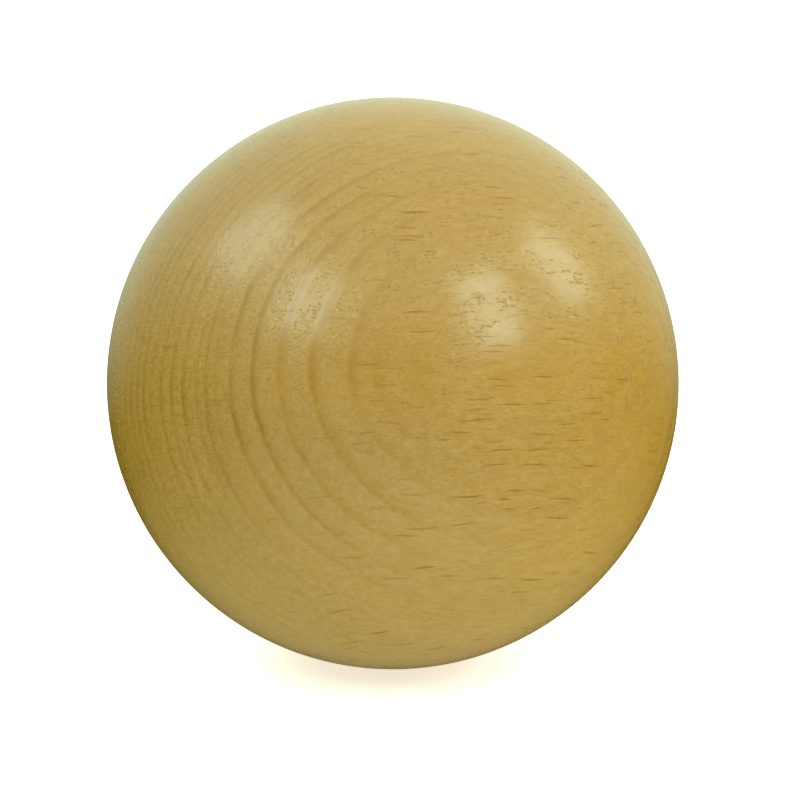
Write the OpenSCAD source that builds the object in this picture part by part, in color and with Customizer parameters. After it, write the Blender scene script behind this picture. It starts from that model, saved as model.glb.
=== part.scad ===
// A plain ball turned from one piece of beech and lacquered all over.
//
// The origin is the ball's centre. Seen from the front, along +Y, +X is to the right
// and +Z is up. The grain runs nearly level, about 30 degrees from +X towards +Y.
// The ball has no hole, flat or stem, so every point of its surface is ball_d / 2
// from the origin.

/* [Ball] */
// Diameter over the lacquer
ball_d = 60; // [20:1:120]

/* [Hidden] */

// Facets round the ball in a preview or a mesh export
preview_facets = 160;

module ball() {
    color("burlywood")
        sphere(d = ball_d, $fn = preview_facets);
}

ball();
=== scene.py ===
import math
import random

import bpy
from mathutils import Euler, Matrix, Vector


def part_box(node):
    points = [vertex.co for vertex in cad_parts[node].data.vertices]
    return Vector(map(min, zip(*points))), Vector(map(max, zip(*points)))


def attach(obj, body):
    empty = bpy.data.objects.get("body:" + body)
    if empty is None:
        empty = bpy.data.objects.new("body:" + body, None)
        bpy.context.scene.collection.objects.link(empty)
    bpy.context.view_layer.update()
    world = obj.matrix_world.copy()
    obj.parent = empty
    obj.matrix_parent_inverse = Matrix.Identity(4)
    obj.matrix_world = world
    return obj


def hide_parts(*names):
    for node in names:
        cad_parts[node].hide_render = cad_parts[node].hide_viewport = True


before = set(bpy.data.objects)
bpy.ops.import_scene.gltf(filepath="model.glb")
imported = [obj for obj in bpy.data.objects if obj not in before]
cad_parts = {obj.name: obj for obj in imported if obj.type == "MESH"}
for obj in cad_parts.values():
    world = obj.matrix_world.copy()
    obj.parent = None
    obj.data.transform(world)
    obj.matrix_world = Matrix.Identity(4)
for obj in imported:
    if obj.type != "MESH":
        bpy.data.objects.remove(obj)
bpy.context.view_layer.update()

# A turned beech ball under satin lacquer, on a white table in soft studio light.
#
# The wood is a solid field of growth rings, rays and pores round the tree's pith, so
# every side of the ball shows the cut that it would have. The same field shapes the
# ball's surface and colours it. The field's sizes are in millimetres.

MM = 0.001

ball_low, ball_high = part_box("ball")
BALL_CENTRE = (Vector(ball_low) + Vector(ball_high)) / 2
RADIUS = (ball_high[2] - ball_low[2]) / 2
RADIUS_MM = RADIUS / MM

# ---- how the ball was cut from the tree ------------------------------------------------

# Wood axes: X along the grain, Y outward from the pith, Z round the rings.
WOOD_TURN = Euler((math.radians(-2.6), math.radians(6.0), math.radians(29.7)))
WOOD_AXES = WOOD_TURN.to_matrix()
GRAIN = WOOD_AXES.col[0]
OUTWARD = WOOD_AXES.col[1]
ROUND = WOOD_AXES.col[2]

# How the year rings bend across the ball, as shares of its radius.
RING_BEND = 0.272
RING_TWIST = 0.075
GRAIN_BEND = 0.039
RING_TAPER = 0.334
GRAIN_SLOPE = -0.089
# How far they wander from that, in two sizes of waves.
SLOW_WANDER = 0.45
QUICK_WANDER = 0.15

# Each year's width and how dark its last wood is, from the pith side outward.
FIRST_YEAR_AT = -32.6
YEARS = [
    (1.93, 0.60),
    (2.27, 0.30),
    (1.9, 0.30),
    (1.4, 0.55),
    (2.8, 0.60),
    (2.8, 0.70),
    (2.7, 1.00),
    (2.5, 1.00),
    (2.0, 0.25),
    (1.3, 0.75),
    (1.2, 0.40),
    (1.9, 0.80),
    (1.8, 0.70),
    (1.8, 0.75),
    (1.8, 0.35),
    (1.7, 0.80),
    (1.6, 0.75),
    (1.6, 0.80),
]
LAST_YEAR_AT = 48.0
OUTER_WIDTHS = (1.2, 2.3)
OUTER_DARKNESS = (0.40, 0.80)
OUTER_SEED = 7

# The dark wood that ends a year comes on slowly and stops short. The shape's 0 is the
# year's end, and its 1 lies LINE_REACH before it.
LINE_REACH = 1.6
LINE_SHAPE = [
    (0.0, 0.0),
    (0.08, 0.5),
    (0.17, 0.95),
    (0.24, 1.0),
    (0.35, 0.65),
    (0.47, 0.3),
    (0.68, 0.1),
    (1.0, 0.0),
]
# Where in its year, from start to end, the wood is soft and where its pores are open.
SOFT_WOOD = [(0.0, 0.0), (0.12, 1.0), (0.5, 0.75), (0.85, 0.0), (1.0, 0.0)]
OPEN_WOOD = [(0.0, 0.05), (0.04, 1.0), (0.56, 1.0), (0.68, 0.05), (1.0, 0.05)]

# The rays stand square to the rings, so they fan out from the pith and lean a little.
RAY_FAN_DISTANCE = 133.0
RAY_LEAN = 0.146
RAY_WANDER = 0.6
# There is room for one ray in each cell along the grain, outward and round the rings.
BOLD_RAYS = {
    "cell": (3.6, 4.0, 1.15),
    "half_width": 0.142,
    "half_length": (0.7, 2.3),
    "kept": 0.62,
    "seed": 1.0,
}
FINE_RAYS = {
    "cell": (1.7, 4.0, 0.38),
    "half_width": 0.065,
    "half_length": (0.3, 0.8),
    "kept": 0.8,
    "seed": 2.0,
}
RAY_REACH = 0.45  # how far a ray goes outward and inward, as a share of its cell
RAY_EDGE = 0.45  # its soft edge, as a share of its half width
BOLDEST_RAYS = 0.4  # the share of the kept rays that show fully
RAY_SETS_APART = 31.7  # so that two sets of rays share no cells

# The vessels' cells to the millimetre along the same three axes, with one pore at most.
VESSEL_CELLS = (1.5, 4.4, 4.4)
VESSEL_SHIFT = (3.0, 0.0, 0.0)  # in cells, so that the pores have a scatter of their own
PORE_EDGE = 0.2  # a pore's soft edge, in cells

# The noises in the wood, by their waves to the millimetre along the same three axes.
RAY_WAVES = (0.22, 0.05, 0.3)
NOISES = {
    "slow wander": {"waves": (0.06, 0.12, 0.12), "seed": 3.0},
    "quick wander": {"waves": (0.25, 0.6, 0.6), "seed": 5.0},
    "lathe": {"waves": (0.05, 0.08, 0.08), "detail": 2.0, "seed": 11.0},
    "drift": {"waves": (0.05, 0.14, 0.14), "detail": 3.0, "seed": 21.0},
    "broken lines": {"waves": (0.12, 0.35, 0.35), "detail": 2.0, "seed": 23.0},
    "fibres": {"waves": (1.3, 4.0, 4.0), "roughness": 0.7, "seed": 27.0},
    "mottle": {"waves": (0.5, 1.3, 1.3), "seed": 29.0},
    "grit": {"waves": (1.0, 2.6, 2.6), "seed": 31.0},
    "fine grit": {"waves": (2.2, 5.5, 5.5), "seed": 33.0},
    "pore clumps": {"waves": (0.4, 0.9, 0.9), "seed": 35.0},
}


def years_to_the_bark():
    """The years above, and seeded ones after them until the field covers the ball."""
    draw = random.Random(OUTER_SEED)
    years = list(YEARS)
    while FIRST_YEAR_AT + sum(width for width, _ in years) < LAST_YEAR_AT:
        years.append((draw.uniform(*OUTER_WIDTHS), draw.uniform(*OUTER_DARKNESS)))
    return years


# ---- node helpers ----------------------------------------------------------------------


class Graph:
    """Adds nodes to a shader or geometry tree, so that a formula reads as a formula."""

    def __init__(self, tree):
        self.tree = tree

    def node(self, kind, **settings):
        node = self.tree.nodes.new(kind)
        for name, value in settings.items():
            setattr(node, name, value)
        return node

    def feed(self, socket, value):
        if isinstance(value, bpy.types.NodeSocket):
            self.tree.links.new(value, socket)
        else:
            socket.default_value = value

    def math(self, operation, *values):
        node = self.node("ShaderNodeMath", operation=operation)
        for socket, value in zip(node.inputs, values):
            self.feed(socket, value)
        return node.outputs[0]

    def total(self, *values):
        found = values[0]
        for value in values[1:]:
            found = self.math("ADD", found, value)
        return found

    def times(self, *values):
        found = values[0]
        for value in values[1:]:
            found = self.math("MULTIPLY", found, value)
        return found

    def vector(self, operation, *values):
        node = self.node("ShaderNodeVectorMath", operation=operation)
        for socket, value in zip(node.inputs, values):
            self.feed(socket, value)
        return node.outputs["Value" if operation == "DOT_PRODUCT" else "Vector"]

    def scaled(self, vector, factor):
        found = self.vector("SCALE", vector)
        self.feed(found.node.inputs["Scale"], factor)
        return found

    def combine(self, x, y, z):
        node = self.node("ShaderNodeCombineXYZ")
        for socket, value in zip(node.inputs, (x, y, z)):
            self.feed(socket, value)
        return node.outputs[0]

    def split(self, vector):
        node = self.node("ShaderNodeSeparateXYZ")
        self.feed(node.inputs[0], vector)
        return node.outputs

    def noise(self, place, detail=1.0, roughness=0.5, seed=0.0):
        """Smooth noise from 0 to 1 with one wave to each unit of place."""
        node = self.node("ShaderNodeTexNoise", noise_dimensions="4D")
        self.feed(node.inputs["Vector"], place)
        node.inputs["W"].default_value = seed
        node.inputs["Scale"].default_value = 1.0
        node.inputs["Detail"].default_value = detail
        node.inputs["Roughness"].default_value = roughness
        return node.outputs[0]

    def swing(self, noise, reach, middle=0.0):
        """A noise from 0 to 1 as one that goes that far to each side of the middle."""
        return self.math("MULTIPLY_ADD", noise, 2 * reach, middle - reach)

    def scatter(self, place):
        """The nearest of a scatter of points, one to each unit cube of place."""
        node = self.node("ShaderNodeTexVoronoi", voronoi_dimensions="3D", feature="F1")
        self.feed(node.inputs["Vector"], place)
        node.inputs["Scale"].default_value = 1.0
        return node.outputs

    def ramp(self, value, low, high, to_low=0.0, to_high=1.0, shape="SMOOTHSTEP"):
        node = self.node("ShaderNodeMapRange", interpolation_type=shape)
        for name, number in (
            ("Value", value),
            ("From Min", low),
            ("From Max", high),
            ("To Min", to_low),
            ("To Max", to_high),
        ):
            self.feed(node.inputs[name], number)
        return node.outputs[0]

    def curve(self, value, points):
        """The height of a curve of straight pieces, both of them from 0 to 1."""
        node = self.node("ShaderNodeFloatCurve")
        line = node.mapping.curves[0]
        while len(line.points) > 2:
            line.points.remove(line.points[1])
        line.points[0].location = points[0]
        line.points[-1].location = points[-1]
        for x, y in points[1:-1]:
            line.points.new(x, y)
        for point in line.points:
            point.handle_type = "VECTOR"
        node.mapping.update()
        self.feed(node.inputs["Value"], value)
        return node.outputs[0]

    def mix(self, share, colour, other, blend="MIX"):
        node = self.node("ShaderNodeMix", data_type="RGBA", blend_type=blend)
        self.feed(node.inputs[0], share)
        for socket, value in ((node.inputs[6], colour), (node.inputs[7], other)):
            self.feed(socket, value if isinstance(value, bpy.types.NodeSocket) else (*value, 1.0))
        return node.outputs[2]

    def toned(self, colour, tone, powers):
        """The colour times the tone, which is raised to a power of its own in each channel."""
        factors = self.combine(*(self.math("POWER", tone, power) for power in powers))
        return self.mix(1.0, colour, factors, blend="MULTIPLY")


# ---- the wood --------------------------------------------------------------------------


def wood_place(graph, place):
    """A place on the ball as millimetres along the grain, outward and round the rings."""
    in_mm = graph.scaled(place, 1 / MM)
    return [graph.vector("DOT_PRODUCT", in_mm, tuple(axis)) for axis in (GRAIN, OUTWARD, ROUND)]


def stretched(graph, wood, waves):
    """The wood's place with that many waves to the millimetre along each axis."""
    return graph.combine(*(graph.math("MULTIPLY", part, many) for part, many in zip(wood, waves)))


def wood_noise(graph, wood, waves, **settings):
    """A noise with that many waves to the millimetre along each of the wood's axes."""
    return graph.noise(stretched(graph, wood, waves), **settings)


def tree_depth(graph, wood):
    """Millimetres outward through the bent year rings, with their wander."""
    grain, outward, around = wood
    bends = graph.total(
        graph.times(around, around, RING_BEND),
        graph.times(around, grain, RING_TWIST),
        graph.times(grain, grain, GRAIN_BEND),
        graph.times(outward, around, RING_TAPER),
        graph.times(outward, grain, GRAIN_SLOPE),
    )
    wander = graph.total(
        graph.swing(wood_noise(graph, wood, **NOISES["slow wander"]), SLOW_WANDER),
        graph.swing(wood_noise(graph, wood, **NOISES["quick wander"]), QUICK_WANDER),
    )
    return graph.total(outward, graph.math("DIVIDE", bends, RADIUS_MM), wander)


def year_rings(graph, depth):
    """The year at a depth: its width and darkness, and how far through it and from its end."""
    years = years_to_the_bark()
    last = len(years)
    reach = sum(width for width, _ in years)
    widest = max(width for width, _ in years)
    points = [(0.0, 0.0)]
    grown = 0.0
    for number, (width, _) in enumerate(years, start=1):
        grown += width
        points.append((grown / reach, number / last))
    share = graph.ramp(depth, FIRST_YEAR_AT, FIRST_YEAR_AT + reach, shape="LINEAR")
    count = graph.math("MULTIPLY", graph.curve(share, points), float(last))
    through = graph.math("FRACT", count)
    middle = graph.math("MULTIPLY_ADD", graph.math("FLOOR", count), 1 / last, 0.5 / last)
    marks = [(number + 0.5) / last for number in range(last)]
    width = graph.curve(middle, [(mark, year[0] / widest) for mark, year in zip(marks, years)])
    darkness = graph.curve(middle, [(mark, year[1]) for mark, year in zip(marks, years)])
    width = graph.times(width, widest)
    left = graph.times(graph.math("SUBTRACT", 1.0, through), width)
    return {"width": width, "darkness": darkness, "through": through, "left": left}


def fan_place(graph, wood, seed):
    """Millimetres across the fan of the rays, which wanders a little."""
    _, outward, around = wood
    leaning = graph.math("MULTIPLY_ADD", outward, RAY_LEAN, around)
    spread = graph.math("MULTIPLY_ADD", outward, 1 / RAY_FAN_DISTANCE, 1.0)
    wander = graph.swing(wood_noise(graph, wood, RAY_WAVES, seed=seed), RAY_WANDER)
    return graph.total(graph.math("DIVIDE", leaning, spread), wander, seed * RAY_SETS_APART)


def rays(graph, wood, cell, half_width, half_length, kept, seed):
    """Rays cut as spindles: blades that stand outward from the pith, thin round the rings."""
    axes = (wood[0], wood[1], fan_place(graph, wood, seed))
    place = graph.combine(*(graph.math("DIVIDE", part, size) for part, size in zip(axes, cell)))
    nearest = graph.scatter(place)
    luck = graph.split(nearest["Color"])
    off = graph.split(graph.vector("SUBTRACT", place, nearest["Position"]))
    along, deep, across = (graph.times(part, size) for part, size in zip(off, cell))
    length = graph.ramp(luck[0], 0.0, 1.0, *half_length, shape="LINEAR")
    along = graph.math("DIVIDE", along, length)
    deep = graph.math("DIVIDE", deep, cell[1] * RAY_REACH)
    spent = graph.total(graph.times(along, along), graph.times(deep, deep))
    taper = graph.math("SUBTRACT", 1.0, spent)
    away = graph.times(graph.math("ABSOLUTE", across), -1.0)
    room = graph.math("MULTIPLY_ADD", taper, half_width, away)
    spindle = graph.ramp(room, 0.0, half_width * RAY_EDGE)
    chosen = graph.ramp(luck[1], 1.0 - kept, 1.0 - kept * BOLDEST_RAYS, shape="LINEAR")
    return graph.times(spindle, graph.math("SQRT", chosen))


def pores(graph, wood):
    """Dots, wider in clumps, where the surface cuts the vessels that run along the grain."""
    place = graph.vector("ADD", stretched(graph, wood, VESSEL_CELLS), VESSEL_SHIFT)
    nearest = graph.scatter(place)
    luck = graph.split(nearest["Color"])[0]
    clumps = wood_noise(graph, wood, **NOISES["pore clumps"])
    width = graph.times(
        graph.ramp(luck, *PORE_WIDTH_BY_LUCK, shape="LINEAR"),
        graph.ramp(clumps, *PORE_WIDTH_BY_CLUMP),
    )
    return graph.ramp(graph.math("SUBTRACT", width, nearest["Distance"]), 0.0, PORE_EDGE)


# ---- the ball's surface ----------------------------------------------------------------

LATHE_WAVES = 0.03  # millimetres that the sanded surface waves by at most
SOFT_WOOD_WEAR = 0.011  # millimetres that sanding wore off the soft wood of wide years
WIDE_YEARS = (1.9, 2.6)
SIDE_STEPS = 126  # quads along each side of the cube that the sphere is made from
CHART_GAP = 0.006  # room round each side of that cube in the UV map


def surface_height(graph, wood, rings):
    """How high the sanded surface lies in millimetres, where 0 is the full sphere."""
    lathe = wood_noise(graph, wood, **NOISES["lathe"])
    soft_wood = graph.curve(rings["through"], SOFT_WOOD)
    wide_years = graph.ramp(rings["width"], *WIDE_YEARS)
    return graph.total(
        graph.times(lathe, -LATHE_WAVES),
        graph.times(soft_wood, wide_years, -SOFT_WOOD_WEAR),
    )


def cube_ball(steps):
    """Vertices, quads and corner UVs of a unit ball made from a cube, with even squares."""
    lattice = {}
    points = []
    quads = []
    corners = []
    for side in range(6):
        axis = side % 3
        sign = 1 if side < 3 else -1
        chart = Vector(((side % 3) / 3, (side // 3) / 2))
        for i in range(steps):
            for j in range(steps):
                square = [(i, j), (i + 1, j), (i + 1, j + 1), (i, j + 1)]
                if sign < 0:
                    square.reverse()
                quad = []
                for a, b in square:
                    key = [0, 0, 0]
                    key[axis] = steps if sign > 0 else 0
                    key[(axis + 1) % 3] = a
                    key[(axis + 2) % 3] = b
                    key = tuple(key)
                    if key not in lattice:
                        lattice[key] = len(points)
                        turned = [math.tan((k / steps - 0.5) * math.pi / 2) for k in key]
                        points.append(Vector(turned).normalized())
                    quad.append(lattice[key])
                    wide = CHART_GAP + a / steps * (1 / 3 - 2 * CHART_GAP)
                    high = CHART_GAP + b / steps * (1 / 2 - 2 * CHART_GAP)
                    corners.append((chart.x + wide, chart.y + high))
                quads.append(quad)
    return points, quads, corners


def relief_tree():
    """Geometry nodes that move each point of the full sphere to the sanded surface."""
    tree = bpy.data.node_groups.new("turned_surface", "GeometryNodeTree")
    tree.interface.new_socket("Geometry", in_out="INPUT", socket_type="NodeSocketGeometry")
    tree.interface.new_socket("Geometry", in_out="OUTPUT", socket_type="NodeSocketGeometry")
    graph = Graph(tree)
    wood = wood_place(graph, graph.node("GeometryNodeInputPosition").outputs[0])
    rings = year_rings(graph, tree_depth(graph, wood))
    height = graph.times(surface_height(graph, wood, rings), MM)
    normal = graph.node("GeometryNodeInputNormal").outputs[0]
    move = graph.node("GeometryNodeSetPosition")
    graph.feed(move.inputs["Offset"], graph.scaled(normal, height))
    start = graph.node("NodeGroupInput")
    end = graph.node("NodeGroupOutput")
    graph.feed(move.inputs["Geometry"], start.outputs[0])
    graph.feed(end.inputs[0], move.outputs[0])
    return tree


def make_ball(material):
    """The one piece of the part: an even sphere, moved to its sanded surface."""
    points, quads, corners = cube_ball(SIDE_STEPS)
    mesh = bpy.data.meshes.new("wooden_ball")
    mesh.from_pydata([BALL_CENTRE + RADIUS * point for point in points], [], quads)
    layer = mesh.uv_layers.new(name="OFBake")
    layer.uv.foreach_set("vector", [number for corner in corners for number in corner])
    mesh.materials.append(material)
    mesh.shade_smooth()
    ball = bpy.data.objects.new("wooden_ball", mesh)
    bpy.context.scene.collection.objects.link(ball)
    relief = ball.modifiers.new("turned surface", "NODES")
    relief.node_group = relief_tree()
    bpy.context.view_layer.update()
    shaped = ball.evaluated_get(bpy.context.evaluated_depsgraph_get())
    ball.data = bpy.data.meshes.new_from_object(shaped)
    ball.data.name = "wooden_ball"
    ball.modifiers.clear()
    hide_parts("ball")
    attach(ball, "root")


# ---- the material ----------------------------------------------------------------------

EARLY_WOOD = (0.327, 0.1685, 0.0350)
LATE_WOOD = (0.245, 0.112, 0.0110)
RAY_COLOUR = (0.235, 0.103, 0.0065)
FINE_RAY_SHARE = 0.4
# The share of darker colour in the pores: partly their own, partly painted shade in the pits.
PORE_AND_SHADE_SHARE = 0.28

# How the wood's colour changes across the ball: to the right, upward, and at both sides. This is
# partly the wood's own tone and partly painted light: lighter to the right, and a painted sheen
# that leaves the middle paler and bluer than the warmer, darker sides.
TONE_AND_PAINTED_LIGHT_RIGHTWARD = (0.190, 0.157, 0.148)
TONE_UPWARD = (0.110, -0.030, -0.183)
TONE_AND_PAINTED_SHEEN_AT_SIDES = (-0.103, -0.164, -0.918)
MEAN_AT_SIDES = 0.25  # so that the last of them averages out across the ball's disc

# How much lighter and darker the noises make it. A darker place is a warmer one too, by
# the tone's powers in red, green and blue.
DRIFT = 0.075
DRIFT_POWERS = (1.0, 1.15, 1.6)
MOTTLE = 0.10
FIBRES = 0.19
FINE_POWERS = (1.0, 1.35, 3.0)

# The lacquer's small relief in millimetres, and what a pore adds to its roughness.
GRIT = 0.019
FINE_GRIT = 0.006
PORE_DEPTH = 0.035
FLECK_DEPTH = 0.004
PORE_ROUGHNESS = 0.15

# Ramps: the two values between which each runs, and what it gives at them. End cut is 1
# where the surface lies square to the grain, and ray cut where it lies flat on the rays.
LINES_BY_END_CUT = (0.2, 0.7, 0.35, 1.0)
LINES_ALONG_GRAIN = (2.0, 16.0, 1.0, 0.3)
LINES_AT_FAR_END = (26.0, 29.0, 0.0, 0.6)
LINES_ROUND_RINGS = (-20.0, -2.0, 0.35, 1.0)
LINES_BROKEN = (0.3, 0.7, 0.4, 1.0)
FIBRES_BY_END_CUT = (0.8, 0.98, 1.0, 1.9)
GRIT_BY_END_CUT = (0.75, 0.98, 1.0, 1.8)
FLECKS_BY_END_CUT = (0.3, 0.8, 1.0, 0.35)
FLECKS_BY_RAY_CUT = (0.7, 1.0, 1.0, 0.5)
PORE_WIDTH_BY_LUCK = (0.15, 1.0, 0.0, 0.57)
PORE_WIDTH_BY_CLUMP = (0.35, 0.62, 0.6, 1.2)
PORES_SHOWN_BY_DEPTH = (-17.0, -13.0, 1.0, 0.35)
PORES_SHOWN_UPWARD = (-0.1 * RADIUS, 0.15 * RADIUS, 0.2, 1.0)
ROUGHNESS_BY_YEAR = (1.3, 2.2, 0.24, 0.21)
OPEN_ROUGHNESS_BY_YEAR = (1.5, 2.5, 0.02, 0.078)


def tone_and_painted_light_across(graph, place):
    """The factor on each channel by which the colour differs from place to place: the wood's own
    tone, with painted light and a painted sheen in it.
    """
    x, _, z = graph.split(place)
    rightward = graph.math("DIVIDE", x, RADIUS)
    upward = graph.math("DIVIDE", z, RADIUS)
    at_sides = graph.math("MULTIPLY_ADD", rightward, rightward, -MEAN_AT_SIDES)
    tones = zip(TONE_AND_PAINTED_LIGHT_RIGHTWARD, TONE_UPWARD, TONE_AND_PAINTED_SHEEN_AT_SIDES)
    return graph.combine(
        *(
            graph.total(
                1.0,
                graph.times(rightward, right),
                graph.times(upward, up),
                graph.times(at_sides, sides),
            )
            for right, up, sides in tones
        )
    )


def year_lines(graph, wood, rings, end_cut):
    """How far each place shows the dark wood that ends a year.

    The lines are broken, and fade low down and on side grain. They also fade along the
    grain, until they come back at its far end.
    """
    line = graph.curve(graph.math("MULTIPLY", rings["left"], 1 / LINE_REACH), LINE_SHAPE)
    broken = wood_noise(graph, wood, **NOISES["broken lines"])
    along_grain = graph.total(
        graph.ramp(wood[0], *LINES_ALONG_GRAIN),
        graph.ramp(wood[0], *LINES_AT_FAR_END),
    )
    shown = graph.times(
        graph.ramp(end_cut, *LINES_BY_END_CUT),
        along_grain,
        graph.ramp(wood[2], *LINES_ROUND_RINGS),
    )
    return graph.times(line, rings["darkness"], graph.ramp(broken, *LINES_BROKEN), shown)


def wood_colour(graph, place, wood, rings, bold_rays, fine_rays, end_cut):
    """The wood's colour. End grain shows its year lines most, and side grain its rays."""
    base = graph.mix(year_lines(graph, wood, rings, end_cut), EARLY_WOOD, LATE_WOOD)

    drift = graph.swing(wood_noise(graph, wood, **NOISES["drift"]), DRIFT, middle=1.0)
    base = graph.toned(base, drift, DRIFT_POWERS)

    mottle = graph.swing(wood_noise(graph, wood, **NOISES["mottle"]), MOTTLE)
    fibres = graph.swing(wood_noise(graph, wood, **NOISES["fibres"]), FIBRES)
    fibres = graph.times(fibres, graph.ramp(end_cut, *FIBRES_BY_END_CUT))
    base = graph.toned(base, graph.total(1.0, mottle, fibres), FINE_POWERS)

    flecks_show = graph.ramp(end_cut, *FLECKS_BY_END_CUT)
    base = graph.mix(graph.times(fine_rays, flecks_show, FINE_RAY_SHARE), base, RAY_COLOUR)
    base = graph.mix(graph.times(bold_rays, flecks_show), base, RAY_COLOUR)
    # Times the tone across the ball, which is partly painted light and a painted sheen.
    return graph.mix(1.0, base, tone_and_painted_light_across(graph, place), blend="MULTIPLY")


def pores_shown(graph, place, depth):
    """How strongly the pores show, in the lacquer's bumps and as painted shade: more in the inner
    years and higher up.
    """
    upward = graph.split(place)[2]
    return graph.times(
        graph.ramp(depth, *PORES_SHOWN_BY_DEPTH),
        graph.ramp(upward, *PORES_SHOWN_UPWARD),
    )


def lacquer_normal(graph, wood, dots, bold_rays, gritty):
    """The lacquer's bumps: pits at the pores, grit in open wood and sunken flecks."""
    grit = graph.swing(wood_noise(graph, wood, **NOISES["grit"]), GRIT)
    fine_grit = graph.swing(wood_noise(graph, wood, **NOISES["fine grit"]), FINE_GRIT)
    height = graph.total(
        graph.times(dots, -PORE_DEPTH),
        graph.times(grit, gritty),
        graph.times(fine_grit, gritty),
        graph.times(bold_rays, -FLECK_DEPTH),
    )
    bump = graph.node("ShaderNodeBump")
    bump.inputs["Strength"].default_value = 1.0
    bump.inputs["Distance"].default_value = MM
    graph.feed(bump.inputs["Height"], height)
    return bump.outputs[0]


def beech_material():
    """Beech under a clear satin lacquer."""
    material = bpy.data.materials.new("lacquered_beech")
    material.use_nodes = True
    tree = material.node_tree
    tree.nodes.clear()
    graph = Graph(tree)
    place = graph.node("ShaderNodeTexCoord").outputs["Object"]
    facing = graph.node("ShaderNodeTexCoord").outputs["Normal"]
    end_cut = graph.math("ABSOLUTE", graph.vector("DOT_PRODUCT", facing, tuple(GRAIN)))
    ray_cut = graph.math("ABSOLUTE", graph.vector("DOT_PRODUCT", facing, tuple(ROUND)))

    wood = wood_place(graph, place)
    depth = tree_depth(graph, wood)
    rings = year_rings(graph, depth)
    open_wood = graph.curve(rings["through"], OPEN_WOOD)
    gritty = graph.times(graph.ramp(end_cut, *GRIT_BY_END_CUT), open_wood)
    dots = graph.times(pores(graph, wood), open_wood, pores_shown(graph, place, depth))
    fine = rays(graph, wood, **FINE_RAYS)
    bold = rays(graph, wood, **BOLD_RAYS)
    bold = graph.times(bold, graph.ramp(ray_cut, *FLECKS_BY_RAY_CUT))

    colour = wood_colour(graph, place, wood, rings, bold, fine, end_cut)
    # Pores darkened in colour: partly the wood's own darker pores, partly painted shade in the
    # pits.
    colour = graph.mix(graph.times(dots, PORE_AND_SHADE_SHARE), colour, RAY_COLOUR)
    roughness = graph.total(
        graph.ramp(rings["width"], *ROUGHNESS_BY_YEAR),
        graph.times(open_wood, graph.ramp(rings["width"], *OPEN_ROUGHNESS_BY_YEAR)),
        graph.times(dots, PORE_ROUGHNESS),
    )

    shader = graph.node("ShaderNodeBsdfPrincipled")
    graph.feed(shader.inputs["Base Color"], colour)
    graph.feed(shader.inputs["Roughness"], roughness)
    graph.feed(shader.inputs["Normal"], lacquer_normal(graph, wood, dots, bold, gritty))
    shader.inputs["IOR"].default_value = 1.5
    output = graph.node("ShaderNodeOutputMaterial")
    graph.feed(output.inputs["Surface"], shader.outputs[0])
    return material


# ---- camera, table and light -----------------------------------------------------------

CAMERA_HEIGHT = math.radians(12.0)  # how far the camera looks down
LENS = 135.0
SENSOR = 36.0
SHIFT = (0.009, -0.021)  # puts the ball where the photo has it
CLIP = (0.01, 50.0)
BALL_SHARE = 0.7158  # the ball's width as a share of the picture's

TABLE_HALF = 6.0  # metres from its middle to its edges
TABLE_COLOUR = (0.87, 0.87, 0.87)
TABLE_ROUGHNESS = 0.9
TABLE_TINT = (1.0, 0.955, 0.845)
TABLE_GLOW = 0.68  # a light table, so that the ball is lit from below as well

LIGHT_DISTANCE = 0.6
# Each softbox: its azimuth from the camera's side and its height in degrees, its width and
# how tall it is in metres, and its power in watts.
SOFTBOXES = {
    "left_side": (-92.0, 46.0, 0.27, 0.27, 0.88),
    "left_front": (-42.5, 39.0, 0.23, 0.25, 0.93),
    "right_front": (46.0, 35.0, 0.20, 0.28, 1.06),
    "right_side": (92.0, 36.0, 0.19, 0.25, 0.69),
}
SOFTBOX_TINT = (0.75, 1.0, 0.86)
WHITE = (1.0, 1.0, 1.0)

# The studio's brightness by the height of the direction's Z: ceiling, walls and skirting.
STUDIO_TINT = (0.77, 1.0, 0.79)
CEILING = 1.46
WALLS = {"back": 1.28, "right": 1.25, "left": 1.04}
SKIRTING = {"back": 1.21, "front": 0.06}
# The Z at which each begins and is full. Each gives way to the next one up.
CEILING_HEIGHTS = (0.35, 0.75)
WALL_HEIGHTS = (0.0, 0.35)
SKIRTING_HEIGHTS = (-0.25, 0.0)
LEAST_LEVEL = 0.0001  # keeps the division by it safe straight up and straight down

# What the lacquer sees of the table, which hides from it otherwise.
TABLE_SHEEN = 0.40
SHEEN_HEIGHTS = (-0.35, -0.75)
SHEEN_TINT = (1.0, 1.04, 0.55)  # warm, because the table under the ball takes its colour
SHEEN_TINT_BELOW = -0.3


def make_camera():
    data = bpy.data.cameras.new("camera")
    data.lens = LENS
    data.sensor_width = SENSOR
    data.shift_x, data.shift_y = SHIFT
    data.clip_start, data.clip_end = CLIP
    camera = bpy.data.objects.new("camera", data)
    half_angle = math.atan(BALL_SHARE * SENSOR / 2 / LENS)
    distance = RADIUS / math.sin(half_angle)
    back = Vector((0.0, -math.cos(CAMERA_HEIGHT), math.sin(CAMERA_HEIGHT)))
    camera.location = BALL_CENTRE + back * distance
    camera.rotation_euler = (-back).to_track_quat("-Z", "Y").to_euler()
    bpy.context.scene.collection.objects.link(camera)
    bpy.context.scene.camera = camera


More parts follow.
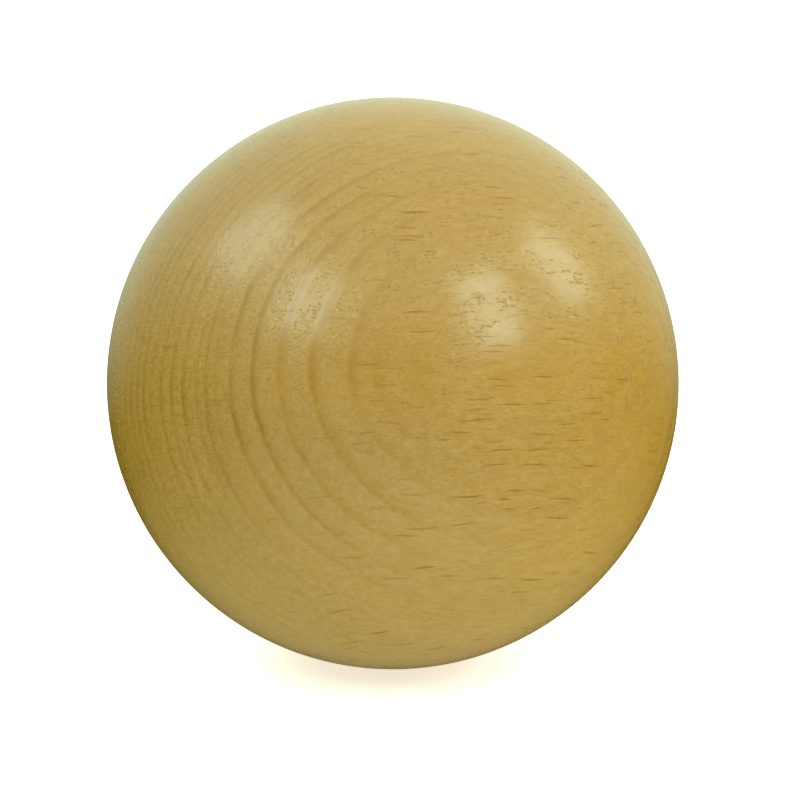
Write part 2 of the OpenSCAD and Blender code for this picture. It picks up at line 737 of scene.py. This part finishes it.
def make_floor():
    height = BALL_CENTRE.z - RADIUS
    mesh = bpy.data.meshes.new("floor")
    ways = ((-1, -1), (1, -1), (1, 1), (-1, 1))
    square = [(x * TABLE_HALF, y * TABLE_HALF, height) for x, y in ways]
    mesh.from_pydata(square, [], [(0, 1, 2, 3)])
    material = bpy.data.materials.new("white_table")
    material.use_nodes = True
    shader = material.node_tree.nodes["Principled BSDF"]
    shader.inputs["Base Color"].default_value = (*TABLE_COLOUR, 1.0)
    shader.inputs["Roughness"].default_value = TABLE_ROUGHNESS
    shader.inputs["Specular IOR Level"].default_value = 0.0
    shader.inputs["Emission Color"].default_value = (*TABLE_TINT, 1.0)
    shader.inputs["Emission Strength"].default_value = TABLE_GLOW
    mesh.materials.append(material)
    floor = bpy.data.objects.new("floor", mesh)
    floor.visible_glossy = False
    bpy.context.scene.collection.objects.link(floor)


def make_softbox(name, azimuth, height, width, tall, power):
    data = bpy.data.lights.new(name, "AREA")
    data.shape = "RECTANGLE"
    data.size = width
    data.size_y = tall
    data.energy = power
    data.color = SOFTBOX_TINT
    light = bpy.data.objects.new(name, data)
    turn = math.radians(azimuth)
    rise = math.radians(height)
    level = math.cos(rise)
    out = Vector((math.sin(turn) * level, -math.cos(turn) * level, math.sin(rise)))
    light.location = BALL_CENTRE + out * LIGHT_DISTANCE
    light.rotation_euler = (-out).to_track_quat("-Z", "Y").to_euler()
    bpy.context.scene.collection.objects.link(light)


def facing_share(graph, side, level):
    """How squarely a direction points to one side, from 0 to 1, seen from above."""
    toward = graph.math("MAXIMUM", side, 0.0)
    return graph.math("DIVIDE", graph.times(toward, toward), level)


def studio_brightness(graph, direction):
    """How bright the ceiling, each side's walls and skirting, and the table's sheen are."""
    x, y, z = direction
    level = graph.total(graph.times(x, x), graph.times(y, y))
    level = graph.math("MAXIMUM", level, LEAST_LEVEL)
    sides = {
        "right": facing_share(graph, x, level),
        "left": facing_share(graph, graph.times(x, -1.0), level),
        "back": facing_share(graph, y, level),
        "front": facing_share(graph, graph.times(y, -1.0), level),
    }
    walls = graph.total(*(graph.times(sides[side], power) for side, power in WALLS.items()))
    skirting = graph.total(*(graph.times(sides[side], power) for side, power in SKIRTING.items()))
    in_ceiling, in_walls, in_skirting, in_sheen = (
        graph.ramp(z, *heights, shape="LINEAR")
        for heights in (CEILING_HEIGHTS, WALL_HEIGHTS, SKIRTING_HEIGHTS, SHEEN_HEIGHTS)
    )
    return graph.total(
        graph.times(in_ceiling, CEILING),
        graph.times(in_walls, graph.math("SUBTRACT", 1.0, in_ceiling), walls),
        graph.times(in_skirting, graph.math("SUBTRACT", 1.0, in_walls), skirting),
        graph.times(in_sheen, TABLE_SHEEN),
    )


def make_world():
    """A studio with a lit ceiling, walls and skirting; to the camera it is plain white."""
    world = bpy.data.worlds.new("studio")
    world.use_nodes = True
    tree = world.node_tree
    tree.nodes.clear()
    graph = Graph(tree)
    direction = graph.split(graph.node("ShaderNodeTexCoord").outputs["Generated"])
    studio = studio_brightness(graph, direction)
    seen = graph.node("ShaderNodeLightPath").outputs["Is Camera Ray"]
    below = graph.math("LESS_THAN", direction[2], SHEEN_TINT_BELOW)
    tint = graph.mix(seen, graph.mix(below, STUDIO_TINT, SHEEN_TINT), WHITE)
    background = graph.node("ShaderNodeBackground")
    graph.feed(background.inputs["Color"], tint)
    graph.feed(background.inputs["Strength"], graph.math("MAXIMUM", studio, seen))
    output = graph.node("ShaderNodeOutputWorld")
    graph.feed(output.inputs["Surface"], background.outputs[0])
    bpy.context.scene.world = world


make_camera()
make_floor()
make_world()
for name, settings in SOFTBOXES.items():
    make_softbox(name, *settings)
make_ball(beech_material())
bpy.context.scene.view_settings.view_transform = "Standard"
